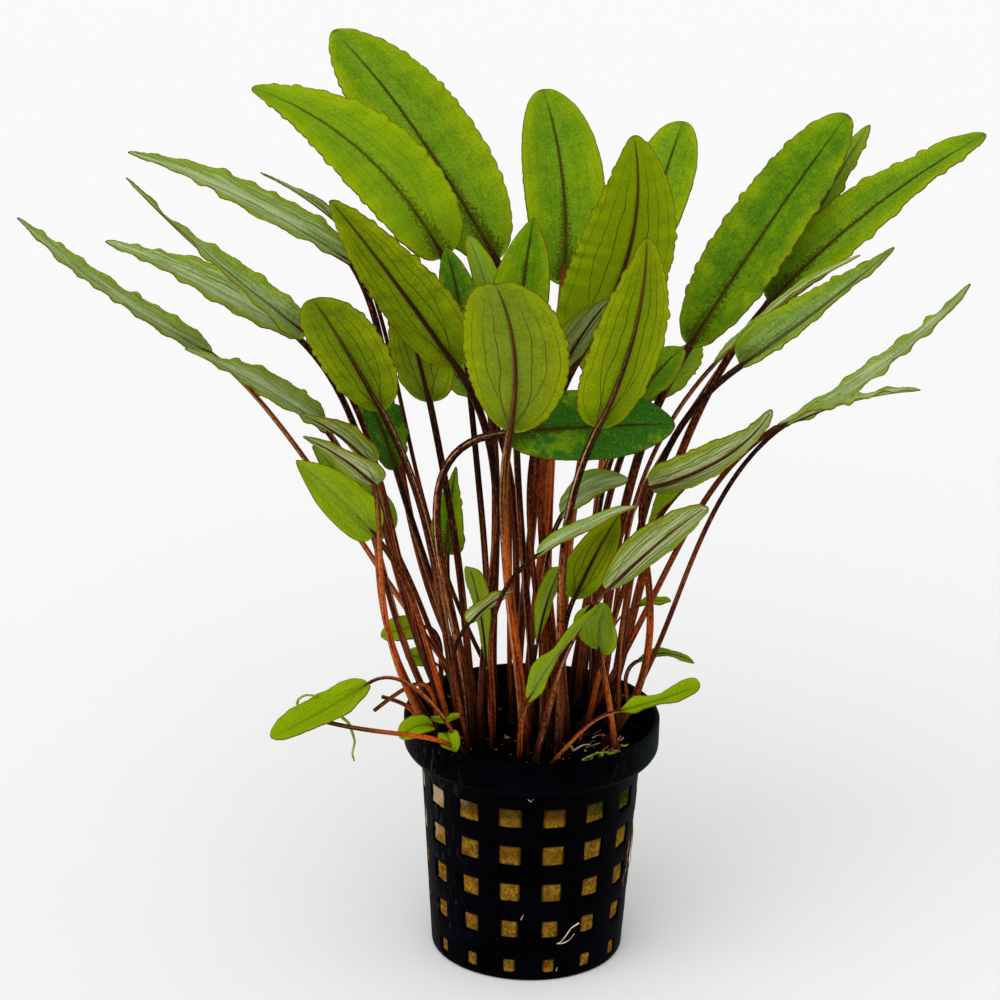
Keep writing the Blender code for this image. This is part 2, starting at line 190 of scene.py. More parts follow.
# Small leaves that the solids leave out, each with its foot on SPRIG_FOOT_Z: foot (x, y), neck and
# tip (x, y, z), width, roll, arch and lift of the stalk
SPRIG_FOOT_Z = 48.5
SPRIGS = {
    "round_seedling_left": ((-19, 9.5), (-21.5, 9, 60.5), (-27, 8.5, 62), 4.2, -50, 0.5, 0.2),
    "seedling_back_1": ((12, 13), (13, 14, 53), (15, 15, 55.5), 2.2, -40, 0.3, 0.5),
    "seedling_back_2": ((17.5, 10.5), (18, 10, 51.5), (20, 9, 53.5), 2.4, -40, 0.3, 0.5),
    "curled_seedling_1": ((-19.5, -8.5), (-20.5, -10.5, 54), (-27.5, -14, 52.8), 5.4, -25, 1.9, 0.7),
    "curled_seedling_2": ((-19, -9.5), (-18, -12.5, 53.5), (-16.5, -16.5, 50.5), 4.6, 10, 1.6, 0.7),
    "curled_seedling_3": ((-19.5, -7), (-21.5, -8.5, 55), (-14.5, -10.5, 57), 2.6, 20, -1, 0.7),
    "small_leaf_right": ((14.5, 9), (22, 12, 73), (29, 12.5, 74), 3.4, 5, 0.4, 0.3),
}
SPRIG_MOOD = (0, 0.7, 0, 0.6)

# Threads on the pot's front: radius, and places by angle in degrees from the viewer's side and
# height. First the two arms of the pale root, then three small white fibres.
PALE_ROOT = (
    (0.19, ((30.4, 13.1), (25.5, 12.3), (22.5, 10.6), (19.5, 9.2), (17.2, 9))),
    (0.15, ((17.4, 9), (21.5, 8.9), (25.1, 9.5), (27.9, 10.8))),
)
WHITE_MARKS = (
    (0.1, ((-1.4, 43.7), (0.1, 43), (1.3, 43.8))),
    (0.1, ((-3.9, 14.9), (-2.4, 16.2))),
    (0.1, ((17.9, 2.3), (18.5, 3.1))),
)
# The tendril that hangs from the low leaf at the left, and the loop above it: x and z, and their y
TENDRIL = ((-39.5, 58.1), (-38, 56.8), (-37.1, 54.1), (-36.7, 52.5), (-37.3, 49.8), (-36.8, 48.2))
TENDRIL_Y = -16
LOOP = ((-48.7, 61.2), (-48.5, 62.4), (-47, 63.4), (-44.2, 63.2))
LOOP_Y = -17
# The strip of green leaf on the soil at the right front: x and y, and its height
STRIP = ((10.6, -17.8), (12.2, -15.8), (13.8, -14.2), (15.5, -13.6), (17.4, -14.2), (19.4, -15.4))
STRIP_Z = 50.4
# Middle of the rootlets that lie on the soil: x and y
TWIG_PLACE = (14.8, -7.6)

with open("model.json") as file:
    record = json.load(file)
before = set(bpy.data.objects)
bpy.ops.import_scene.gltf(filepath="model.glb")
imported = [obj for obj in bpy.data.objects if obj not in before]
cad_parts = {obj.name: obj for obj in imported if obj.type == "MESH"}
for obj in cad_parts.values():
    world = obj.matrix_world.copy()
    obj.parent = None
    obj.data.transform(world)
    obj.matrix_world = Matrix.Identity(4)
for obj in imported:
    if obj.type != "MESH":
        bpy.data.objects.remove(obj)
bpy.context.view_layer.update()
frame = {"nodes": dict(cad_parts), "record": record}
slot_of = {part["node"]: part["material_slot"] for part in frame["record"]["subparts"]}


class Wire:
    """A socket of a material. Arithmetic on it adds Math nodes."""

    def __init__(self, board, socket):
        self.board = board
        self.socket = socket

    def math(self, operation, *rest):
        operands = dict(enumerate((self, *rest)))
        return self.board.node("Math", {"operation": operation}, operands)

    def __add__(self, other):
        return self.math("ADD", other)

    __radd__ = __add__

    def __mul__(self, other):
        return self.math("MULTIPLY", other)

    __rmul__ = __mul__

    def __sub__(self, other):
        return self.math("SUBTRACT", other)

    def __rsub__(self, other):
        return self.board.node("Math", {"operation": "SUBTRACT"}, {0: other, 1: self})

    def __truediv__(self, other):
        return self.math("DIVIDE", other)

    def __abs__(self):
        return self.math("ABSOLUTE")

    def over(self, low, high):
        """A soft step from 0 at low to 1 at high, or the other way round where high is the smaller."""
        values = {"Value": self, "From Min": low, "From Max": high}
        return self.board.node("MapRange", {"interpolation_type": "SMOOTHSTEP"}, values)

    def parts(self):
        split = self.board.node("SeparateXYZ", values={0: self}).socket.node
        return [Wire(self.board, socket) for socket in split.outputs]


class Board:
    """A material being wired up."""

    def __init__(self, name):
        self.material = bpy.data.materials.new(name)
        self.material.use_nodes = True
        self.tree = self.material.node_tree
        self.shader = self.tree.nodes["Principled BSDF"]

    def node(self, kind, settings=None, values=None, output=0):
        made = self.tree.nodes.new("ShaderNode" + kind)
        for key, value in (settings or {}).items():
            setattr(made, key, value)
        for key, value in (values or {}).items():
            self.plug(made.inputs[key], value)
        return Wire(self, made.outputs[output])

    def plug(self, socket, value):
        if isinstance(value, Wire):
            self.tree.links.new(value.socket, socket)
        else:
            socket.default_value = (*value, 1) if socket.type == "RGBA" else value

    def paint(self, colour, roughness, specular, height=0, strength=0, distance=0):
        """Fills the shader's sockets and gives the material. Distance is the height of the bumps
        in millimetres."""
        values = {"Height": height, "Strength": strength, "Distance": distance * MM}
        bump = self.node("Bump", values=values) if strength else (0, 0, 0)
        sockets = ("Base Color", "Roughness", "Specular IOR Level", "Normal")
        for name, value in zip(sockets, (colour, roughness, specular, bump)):
            self.plug(self.shader.inputs[name], value)
        return self.material

    def attribute(self, name, output="Fac"):
        return self.node("Attribute", {"attribute_name": name}, output=output)

    def uv(self, name):
        """The u and v of a UV map."""
        return self.node("UVMap", {"uv_map": name}).parts()[:2]

    def millimetres(self):
        place = self.node("TexCoord", output="Object")
        return self.node("VectorMath", {"operation": "SCALE"}, {0: place, "Scale": 1 / MM})

    def vector(self, x, y, z):
        return self.node("CombineXYZ", values={0: x, 1: y, 2: z})

    def noise(self, place, scale, detail=2, roughness=0.5, distortion=0):
        values = {"Vector": place, "Scale": scale, "Detail": detail, "Roughness": roughness}
        return self.node("TexNoise", values={**values, "Distortion": distortion})

    def net(self, place):
        settings = {"feature": "DISTANCE_TO_EDGE"}
        return self.node("TexVoronoi", settings, {"Vector": place, "Scale": 1})

    def mix(self, share, low, high):
        """Two colours mixed by a share."""
        return self.node("Mix", {"data_type": "RGBA"}, {0: share, 6: low, 7: high}, output=2)

    def layered(self, colour, *layers):
        """A colour with others laid over it one by one, each by its share."""
        for share, tint in layers:
            colour = self.mix(share, colour, tint)
        return colour


def times(colour, share):
    return tuple(channel * share for channel in colour)


def blade_finish(name, palette, rib, vein_share, halo_share):
    """One side of a leaf. The palette goes from deep to bright, then the young colour and the pale
    colour of the painted sheen. Lengths on the blade are in millimetres."""
    deep, middle, bright, young, pale = palette
    board = Board(name)
    across, along = board.uv("blade")
    grain_x, grain_y = board.uv("grain")
    painted_sheen, youth, depth = board.attribute("mood", "Vector").parts()
    half = board.attribute("half_mm")
    reach = board.attribute("reach_mm")
    seed = board.attribute("seed")
    out = abs(across * 2 - 1)
    from_rib = out * half
    from_margin = (1 - out) * half

    place = board.vector(grain_x, grain_y, seed * 53)
    patches = board.noise(place, 0.15, 3, 0.6)
    blotches = board.noise(place, 0.75, 2, 0.6)
    specks = board.noise(place, 2.7, 3, 0.75)
    stipple = board.noise(place, 1.9, 1, 0.5)
    streaks = board.noise(board.vector(grain_x * 2.2, grain_y * 0.07, seed * 31), 1, 3, 0.65)
    netting = board.net(board.vector(grain_x * 1.25, grain_y * 0.8, seed * 17))

    # Side veins: the long thin lines that run from the base beside the midrib
    large = half.over(1.2, 4.5)
    veins = None
    for start, share in ((-0.12, 0.27), (0, 0.53), (-0.2, 0.79)):
        bend = board.vector(grain_y * 0.1, seed * 40 + share * 30, out * 0.3)
        wiggle = (board.noise(bend, 1, 1, 0.45) - 0.5) * 1.7
        route = (along - start).over(0, 0.4) * share * reach
        vein = abs(from_rib - route + wiggle).over(0.15, 0.04)
        vein = vein * along.over(start + 0.02, start + 0.12) * (1.15 - share * 0.6)
        veins = vein if veins is None else veins.math("MAXIMUM", vein)
    veins = veins * along.over(1, 0.5) * large

    # Halo: the dark stipple along the midrib, widest at the base
    thin = 1 - along * 0.85
    base = along.over(0.26, 0)
    mature = 1 - youth * 0.8
    halo = from_rib / (0.4 + 3.8 * thin * thin * thin * (0.2 + large * 0.8))
    halo = (halo.over(1, 0) + (stipple - 0.5) * 2.3 + base * 0.2).over(0.42, 0.95) * thin
    spine = (from_rib / (0.16 + 0.26 * thin)).over(1.1, 0.4) * along.over(1.02, 0.72)

    tone = patches * 0.45 + blotches * 0.35 + specks * 0.35
    edgeward = out + patches * 0.8 + specks * 0.6
    # Painted sheen: pale streaks, and darker lines between them, where light glances off a leaf
    sheen_streaks = (streaks * 1.5 + specks * 0.35 - out * 0.45).over(0.62, 0.95)
    dark_line = (streaks * 1.5 + specks * 0.3).over(0.82, 0.62)
    shaded = (patches + blotches * 0.4).over(0.95, 0.5) * 0.6 + 0.25
    rim = from_margin.over(0.32, 0.08) * (patches + specks * 0.6).over(0.5, 0.85)
    tip = (along + specks * 0.03).over(0.99, 1.015) * (1 - youth)
    cool = tuple(a * 0.5 + b * 0.35 for a, b in zip(deep, pale))
    colour = board.layered(
        deep,
        (tone.over(0.42, 0.72), middle),
        (edgeward.over(0.95, 1.75), bright),
        (netting.over(0.13, 0.02) * 0.25, deep),
        (youth * (0.55 + specks * 0.5), young),
        # Painted sheen: a cool tint in the middle, pale streaks and darker lines between them
        (painted_sheen * out.over(1.05, 0.5) * 0.75, cool),
        (painted_sheen * sheen_streaks, pale),
        (painted_sheen * dark_line * 0.6, times(deep, 0.75)),
        # Deep green: partly the leaf's own colour, partly painted shade on leaves deep in the plant and
        # behind others
        (depth * shaded, (deep[0] * 0.2, deep[1] * 0.48, 0.008)),
        (specks.over(0.55, 0.7) * 0.4, times(bright, 1.35)),
        (specks.over(0.46, 0.3) * 0.5, times(deep, 0.5)),
        (veins * vein_share, rib),
        (halo * halo_share * mature * (1 - painted_sheen), rib),
        (spine * (0.2 + specks * 1.2) * (mature - painted_sheen * 0.55), rib),
        # Painted shade at the base of the blade, where it meets the stalks
        (base * large * mature * 0.5, times(deep, 0.3)),
        (rim * 0.8, (0.12, 0.05, 0.004)),
        (tip * 0.6, (0.07, 0.03, 0.004)),
    )

    height = netting.over(0, 0.3) * 0.5 + specks * 0.35 - veins * 0.6 + streaks * painted_sheen * 0.8
    return board.paint(colour, 0.5 + specks * 0.2, 0.015, height, 0.5, 0.14)


def stalk_finish():
    """Red-brown stalks, nearly black towards the blade and at the foot, with fine speckles, painted
    light along one side and a broken pale line of painted highlight there. Along the blade the same
    tube is the midrib's keel, which thins out into the leaf's colour towards the tip."""
    board = Board("stalk")
    around, along = board.uv("blade")
    grain_x, grain_y = board.uv("grain")
    seed = board.attribute("seed")
    tan = board.attribute("tan")
    specks = board.noise(board.vector(grain_x * 2.4, grain_y * 1.1, seed * 71), 1, 2, 0.7)
    lines = board.noise(board.vector(grain_x * 1.9, grain_y * 0.06, seed * 23), 1, 2, 0.6)
    patches = board.noise(board.vector(grain_x * 0.3, grain_y * 0.09, seed * 43), 1, 2, 0.5)

    warmth = patches * 0.7 + lines + tan * 0.75 + specks * 0.4 - along.over(-0.75, 0) * 0.5
    # On one side of each stalk: painted light in orange streaks, and along it a broken pale line of
    # painted highlight
    facing = (around * math.tau + seed * 9).math("SINE")
    lit = facing.over(0.1, 0.95) * (lines + specks * 0.5).over(0.65, 0.9)
    broken = (lines * 0.6 + specks * 0.7).over(0.5, 0.75)
    olive = tan.over(0.6, 1) * tan.over(1.3, 1.1) * lines.over(0.35, 0.7)
    colour = board.layered(
        (0.008, 0.0014, 0.0008),
        (warmth.over(0.85, 1.3), (0.12, 0.018, 0.004)),
        (warmth.over(1.28, 1.85), (0.52, 0.078, 0.006)),
        # Painted light: orange streaks on one side
        (lit * warmth.over(0.7, 1.2) * 0.5, (0.5, 0.13, 0.025)),
        (specks.over(0.56, 0.68) * (0.25 + tan * 0.45), (0.58, 0.14, 0.013)),
        (lines.over(0.55, 0.64) * along.over(-0.3, -0.7) * 0.5, (0.4, 0.15, 0.03)),
        (lines.over(0.46, 0.36) * 0.8, (0.01, 0.0016, 0.0008)),
        (specks.over(0.46, 0.35) * 0.75, (0.012, 0.0014, 0.0006)),
        # Painted highlight: a broken pale line along one side
        (facing.over(0.955, 0.995) * broken * 0.8, (0.6, 0.29, 0.15)),
        (olive * along.over(-0.6, -0.1) * 0.7, (0.13, 0.1, 0.012)),
        (along.over(-0.12, 0.04) * 0.6, (0.035, 0.014, 0.002)),
        (along.over(0.35, 0.95) * 0.8, (0.11, 0.06, 0.004)),
        # Darker down the lower stalk and nearly black at the foot
        (along.over(-0.6, -0.95) * 0.55, (0.02, 0.006, 0.002)),
        (along.over(-0.88, -0.98) * 0.85, (0.004, 0.002, 0.001)),
    )
    height = lines * 0.9 + specks * 0.4
    return board.paint(colour, 0.42 + specks * 0.25, 0.04, height, 0.6, 0.14)


def pot_finish():
    """Black moulded plastic with a faint blue cast, dust, scuffs with a painted highlight on the left
    side, and algae at the right, where the lip's green tint is partly algae and partly painted sheen.
    """
    board = Board("net pot plastic")
    place = board.millimetres()
    x, y, z = place.parts()
    haze = board.noise(place, 0.09, 3, 0.6)
    dust = board.noise(place, 2.6, 2, 0.6)
    flecks = board.noise(place, 5.0, 2, 0.6)
    scuffs = board.noise(board.vector(x * 0.6, y * 0.6, z * 0.22), 1.3, 4, 0.7, 1.2)
    # Scuffs on the left side, which also carry a painted highlight there
    side = (x * -0.045 + haze).over(1.1, 1.5)
    scuffs_and_highlight = scuffs.over(0.54, 0.7) * (side + scuffs.over(0.7, 0.8) * 0.3)
    algae = (x * 0.045 + z * 0.012 + haze).over(1.75, 2.1) * scuffs.over(0.5, 0.7)
    # Green tint on the lip at the right: partly algae, partly painted sheen
    green_lip = (x * 0.05 + haze * 0.6).over(1.3, 1.65) * z.over(44.0, 48.0)
    colour = board.layered(
        (0.0002, 0.0002, 0.0003),
        (haze.over(0.4, 0.7), (0.0008, 0.0007, 0.0026)),
        (dust.over(0.6, 0.75) * 0.4, (0.006, 0.005, 0.016)),
        (flecks.over(0.72, 0.78) * 0.35, (0.12, 0.11, 0.12)),
        # Scuffs with a painted highlight on the left side
        (scuffs_and_highlight * 0.5, (0.075, 0.08, 0.07)),
        (algae * 0.55, (0.02, 0.03, 0.006)),
        # Green tint on the lip: partly algae, partly painted sheen
        (green_lip * (0.3 + dust), (0.004, 0.009, 0.007)),
    )
    height = dust * 0.4 + haze + scuffs * 0.6
    return board.paint(colour, 0.4 + haze * 0.2 + scuffs_and_highlight * 0.15, 0.008, height, 0.3, 0.2)


def wool_finish():
    """Matted ochre fibres where the windows show them, darker at the top of the top row with painted
    shade, and black with algae and soil on top, the black partly painted shade under the leaves.
    """
    board = Board("rock wool")
    place = board.millimetres()
    x, y, z = place.parts()
    patches = board.noise(place, 0.13, 2, 0.5)
    lumps = board.noise(place, 0.65, 3, 0.6)
    mat = board.noise(place, 1.3, 4, 0.75, 2.5)
    specks = board.noise(place, 1.8, 2, 0.7)
    fibres = abs(mat - 0.5).over(0.09, 0)
    # Painted shade: the upper parts of the top row of windows are darker
    top_row_shade = (z + lumps * 1.5 + patches * 2).over(38.7, 41.2)
    olive = board.noise(place, 0.21, 2, 0.5).over(0.56, 0.7)
    pale = (x * -0.05 + y * 0.01 + z * 0.03 + patches * 0.8).over(2.05, 2.35)
    algae = (x * 0.06 + z * 0.05 + patches + lumps * 0.4).over(3.25, 3.7)
    green = board.mix(specks.over(0.4, 0.7), (0.004, 0.012, 0.002), (0.03, 0.08, 0.01))
    # Near black on top: partly the soil's own colour, partly painted shade under the leaves
    soil = board.mix(specks.over(0.45, 0.72), (0.0006, 0.0005, 0.0004), (0.006, 0.004, 0.002))
    colour = board.layered(
        (0.1, 0.03, 0.002),
        (lumps.over(0.4, 0.62), (0.29, 0.135, 0.005)),
        (specks.over(0.5, 0.68) * 0.75, (0.42, 0.2, 0.01)),
        (specks.over(0.48, 0.34) * 0.8, (0.035, 0.013, 0.002)),
        (fibres * 0.3, (0.45, 0.3, 0.05)),
        (patches.over(0.54, 0.68) * 0.6, (0.11, 0.035, 0.003)),
        # Painted shade at the top of the top row of windows
        (top_row_shade * 0.8, (0.05, 0.016, 0.002)),
        (olive * 0.35, (0.12, 0.1, 0.004)),
        (pale * (0.4 + specks), (0.5, 0.37, 0.22)),
        (algae * 0.9, green),
        # Soil on top: partly its own colour, partly painted shade under the leaves
        ((z + lumps * 2).over(45.6, 47.2), soil),
    )
    height = mat * 0.8 + lumps + specks * 0.5
    return board.paint(colour, 0.85 + lumps * 0.1, 0, height, 0.9, 0.4)


def plain_finish(name, low, high, scale, roughness):
    """Two tones of one colour mottled at a scale given per millimetre."""
    board = Board(name)
    mottle = board.noise(board.millimetres(), scale, 3, 0.65)
    colour = board.mix(mottle.over(0.35, 0.65), low, high)
    return board.paint(colour, roughness + mottle * 0.1, 0.03, mottle, 0.5, 0.15)


UPPER = blade_finish(
    "leaf upper side",
    palette=(
        (0.1, 0.215, 0.001),
        (0.17, 0.31, 0.001),
        (0.28, 0.38, 0.002),
        (0.23, 0.35, 0.002),
        (0.46, 0.54, 0.26),
    ),
    rib=(0.035, 0.018, 0.001),
    vein_share=0.22,
    halo_share=0.85,
)
UNDER = blade_finish(
    "leaf underside",
    palette=(
        (0.12, 0.18, 0.001),
        (0.185, 0.26, 0.001),
        (0.27, 0.33, 0.002),
        (0.23, 0.34, 0.002),
        (0.46, 0.53, 0.25),
    ),
    rib=(0.05, 0.02, 0.001),
    vein_share=0.8,
    halo_share=0.35,
)
STALK = stalk_finish()
POT = pot_finish()
WOOL = wool_finish()
ROOT = plain_finish("pale roots", (0.42, 0.3, 0.18), (0.75, 0.65, 0.5), 0.9, 0.55)
BROWN_ROOT = plain_finish("brown roots", (0.1, 0.05, 0.015), (0.3, 0.19, 0.07), 0.8, 0.6)
TWIG = plain_finish("broken rootlets", (0.06, 0.014, 0.008), (0.3, 0.1, 0.06), 0.9, 0.6)
PALE_TWIG = plain_finish("pale rootlets", (0.25, 0.12, 0.09), (0.6, 0.42, 0.34), 0.9, 0.6)
LITTER = plain_finish("dead leaf litter", (0.05, 0.02, 0.008), (0.3, 0.17, 0.08), 0.7, 0.7)
GREEN_BITS = plain_finish("green litter", (0.15, 0.22, 0.008), (0.4, 0.46, 0.04), 0.6, 0.5)
GRIT = plain_finish("pale grit", (0.12, 0.11, 0.1), (0.5, 0.48, 0.45), 2.0, 0.6)
SOIL = plain_finish("dark crumbs", (0.0006, 0.0005, 0.0004), (0.007, 0.004, 0.002), 0.8, 0.8)


def fresh(add, **settings):
    """A new primitive, added with nothing selected."""
    bpy.ops.object.select_all(action="DESELECT")
    add(**settings)
    return bpy.context.object


def fresh_grid(name, columns, rows):
    """A grid primitive with its UV map named blade, and its vertices' places: across from -1 to 1
    and along from 0 to 1."""
    grid = bpy.ops.mesh.primitive_grid_add
    made = fresh(grid, x_subdivisions=columns, y_subdivisions=rows, size=2)
    made.name = name
    made.data.name = name
    made.data.uv_layers[0].name = "blade"
    places = np.zeros(len(made.data.vertices) * 3)
    made.data.vertices.foreach_get("co", places)
    places = places.reshape(-1, 3)
    return made, places[:, 0], (places[:, 1] + 1) / 2


def set_places(made, places):
    made.data.vertices.foreach_set("co", (places * MM).ravel())
    made.data.update()


def set_numbers(made, name, values):
    """One number for each vertex, kept as an attribute that materials read."""
    layer = made.data.attributes.new(name, "FLOAT", "POINT")
    layer.data.foreach_set("value", np.broadcast_to(values, len(made.data.vertices)).astype(float))


def set_uv(made, name, u, v):
    """Fills a UV map, and makes it first if need be, from one u and v for each vertex."""
    layers = made.data.uv_layers
    layer = layers[name] if name in layers else layers.new(name=name)
    corners = np.zeros(len(made.data.loops), int)
    made.data.loops.foreach_get("vertex_index", corners)
    layer.data.foreach_set("uv", np.stack([u[corners], v[corners]], 1).ravel())


def coat(made, *finishes):
    """Gives a piece these materials and no others."""
    made.data.materials.clear()
    for finish in finishes:
        made.data.materials.append(finish)


def select(*pieces):
    """Selects these pieces alone and makes the first one active."""
    bpy.ops.object.select_all(action="DESELECT")
    for piece in pieces:
        piece.select_set(True)
    bpy.context.view_layer.objects.active = pieces[0]


def modify(made, kind, **settings):
    """Adds a modifier and applies it."""
    modifier = made.modifiers.new(kind, kind)
    for key, value in settings.items():
        setattr(modifier, key, value)
    select(made)
    bpy.ops.object.modifier_apply(modifier=modifier.name)


def join(pieces):
    select(*pieces)
    bpy.ops.object.join()
    return pieces[0]


def merge(made, distance, fill=False):
    """Welds doubles, closes open ends where asked, and turns the faces outwards."""
    bm = bmesh.new()
    bm.from_mesh(made.data)
    bmesh.ops.remove_doubles(bm, verts=bm.verts, dist=distance * MM)
    if fill:
        bmesh.ops.holes_fill(bm, edges=bm.edges, sides=0)
    bmesh.ops.recalc_face_normals(bm, faces=bm.faces)
    bm.to_mesh(made.data)
    bm.free()


def dress(made, replaced=None):
    """Smooth shading and the body it rides on, with the solid it stands for hidden."""
    made.data.shade_smooth()
    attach(made, "root")
    if replaced:
        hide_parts(replaced)
    return made


def unit(vectors):
    return vectors / np.linalg.norm(vectors, axis=-1, keepdims=True)


def bell(values, middle, width):
    """1 at the middle, and less and less away from it."""
    return np.exp(-(((values - middle) / width) ** 2))


def curve(points, t):
    """Points of the Bezier curve through the first and last control point, and its directions."""
    t = np.asarray(t, float)[:, None]
    layer = [np.broadcast_to(np.asarray(point, float), (len(t), 3)) for point in points]
    while len(layer) > 2:
        layer = [a + (b - a) * t for a, b in zip(layer, layer[1:])]
    return layer[0] + (layer[1] - layer[0]) * t, unit(layer[1] - layer[0])


def rings_of(node):
    """The solid's rings of corners from the foot to the far end, in millimetres."""
    mesh = frame["nodes"][node].data
    seat = {}
    index = [seat.setdefault(tuple(round(c, 6) for c in v.co), len(seat)) for v in mesh.vertices]
    corners = np.array(list(seat)) / MM
    near = [set() for _ in corners]
    for face in mesh.polygons:
        ids = [index[v] for v in face.vertices]
        for a, b in zip(ids, ids[1:] + ids[:1]):
            near[a].add(b)
            near[b].add(a)
    ring = set(np.flatnonzero(corners[:, 2] < corners[:, 2].min() + 0.01))
    rings = []
    seen = set()
    while ring:
        rings.append(corners[sorted(ring)])
        seen |= ring
        ring = set().union(*(near[i] for i in ring)) - seen
    return rings


def centres_of(rings):
    return np.array([ring.mean(0) for ring in rings])


def thickness_of(rings):
    """The stalk's radius, from the solid's first ring, which is wider by STALK_FOOT."""
    return np.linalg.norm(rings[0] - rings[0].mean(0), axis=1).mean() / STALK_FOOT


def stalk_handles(centres):
    """The two inner control points of the cubic through the stalk's ring centres."""
    t = np.array(STALK_SHARES)[:, None]
    known = (1 - t) ** 3 * centres[0] + t**3 * centres[-1]
    weights = np.hstack([3 * t * (1 - t) ** 2, 3 * t**2 * (1 - t)])
    return np.linalg.lstsq(weights, centres[1:-1] - known, rcond=None)[0]


def span_of(ring):
    """A blade ring's two margin corners: their distance and their indices."""
    spans = np.linalg.norm(ring[:, None] - ring[None], axis=-1)
    a, b = np.unravel_index(spans.argmax(), spans.shape)
    return spans.max(), a, b


def outline_of(rings):
    """Size, rise and fall of the outline size * s**rise * (1 - s)**fall that runs through the
    margins of a solid's blade rings."""
    s = np.array(BLADE_STATIONS)
    halves = np.array([span_of(ring)[0] / 2 for ring in rings])
    terms = np.stack([np.ones_like(s), np.log(s), np.log(1 - s)], 1)
    size, rise, fall = np.linalg.lstsq(terms, np.log(halves), rcond=None)[0]
    return math.exp(size), rise, fall


def course_of(node):
    """Reads a leaf's course from its solid: control points of stalk and blade, the blade's side
    direction and outline, and the stalk's radius."""
    rings = rings_of(node)
    stalk = centres_of(rings[:STALK_RINGS])
    neck = stalk[-1]
    tip = rings[-1].mean(0)
    blade_rings = rings[STALK_RINGS : STALK_RINGS + len(BLADE_STATIONS)]
    ring = blade_rings[BLADE_STATIONS.index(0.5)]
    span, a, b = span_of(ring)
    middle = (ring[a] + ring[b]) / 2
    rest = [ring[i] for i in range(4) if i not in (a, b)]
    top, keel = sorted(rest, key=lambda corner: np.linalg.norm(corner - middle))
    up = unit(top - keel)
    centre = middle - up * span / 2 * SOLID_FOLD
    return dict(
        stalk=(stalk[0], *stalk_handles(stalk), neck),
        blade=(neck, 2 * centre - (neck + tip) / 2, tip),
        side=unit(np.cross(unit(tip - neck), up)),
        outline=outline_of(blade_rings),
        thick=thickness_of(rings),
    )


def course_between(foot, neck, tip, width, roll, arch, lift):
    """The same for a small leaf that has no solid."""
    foot, neck, tip = np.array(((*foot, SPRIG_FOOT_Z), neck, tip), float)
    chord = unit(tip - neck)
    up = unit(np.array([0, 0, 1]) - chord * chord[2])
    turn = math.radians(roll)
    up = up * math.cos(turn) + np.cross(chord, up) * math.sin(turn)
    bend = (neck + tip) / 2 + 2 * up * arch
    reach = np.linalg.norm(neck - foot) * 0.36
    rise = unit(unit(neck - foot) + np.array([0, 0, lift]))
    return dict(
        stalk=(foot, foot + rise * reach, neck - unit(bend - neck) * reach, neck),
        blade=(neck, bend, tip),
        side=np.cross(chord, up),
        outline=(width, 0.5, 0.5),
        thick=max(0.22, 0.06 * width),
    )


def half_width(along, course):
    size, rise, fall = course["outline"]
    along = np.clip(along, 1e-4, 1 - 1e-4)
    return size * along**rise * (1 - along) ** fall


def blade_frame(course, along, shape):
    """Centre, side and upward direction of the blade at each place along it."""
    centre, heading = curve(course["blade"], along)
    side = unit(course["side"] - heading * (heading @ course["side"])[:, None])
    up = np.cross(side, heading)
    turn = np.radians(shape.get("roll", 0) + shape.get("twist", 0) * (along - 0.35))
    cos, sin = np.cos(turn)[:, None], np.sin(turn)[:, None]
    side, up = side * cos + up * sin, up * cos - side * sin
    hook = shape.get("hook", 0) * np.clip(along - 0.55, 0, 1) ** 2 / 0.2
    return centre + side * hook[:, None], side, up


